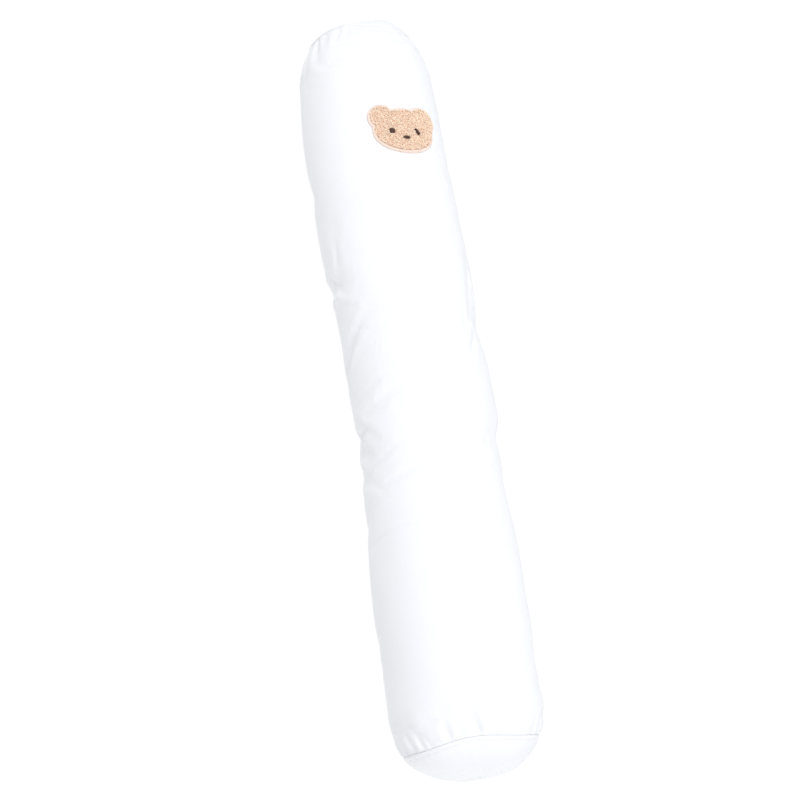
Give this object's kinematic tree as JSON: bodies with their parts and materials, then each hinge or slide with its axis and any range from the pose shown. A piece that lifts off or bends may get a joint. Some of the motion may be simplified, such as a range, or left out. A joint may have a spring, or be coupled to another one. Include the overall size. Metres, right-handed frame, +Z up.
{
  "type": "baby bolster pillow",
  "caption": "Long plump bolster cushion for a baby: a stuffed white cotton tube, gathered into domed round end panels, with a fleecy tan bear-head patch near its head end",
  "frame": {"origin": "centre of the bounding box on the plane that the pillow rests on", "axes": "+Y runs along the pillow towards its head end, +Z is up out of the side that carries the patch, and +X completes the right-handed frame"},
  "size_m": [0.1562, 0.8086, 0.1486],
  "materials": {
    "white_cotton": "plain woven cotton, soft and matte, pulled smooth by the filling",
    "patch_edging": "close satin stitch in pale peach thread, slightly glossy",
    "tan_pile": "short curly fleece pile, matte",
    "brown_thread": "close satin stitch in dark brown thread, slightly glossy"
  },
  "bodies": {
    "root": {"tube_panel": "white_cotton", "end_panel_foot": "white_cotton", "end_panel_head": "white_cotton", "patch_backing": "patch_edging", "patch_pile": "tan_pile", "patch_eye_left": "brown_thread", "patch_eye_right": "brown_thread", "patch_nose": "brown_thread"}
  },
  "joints": []
}
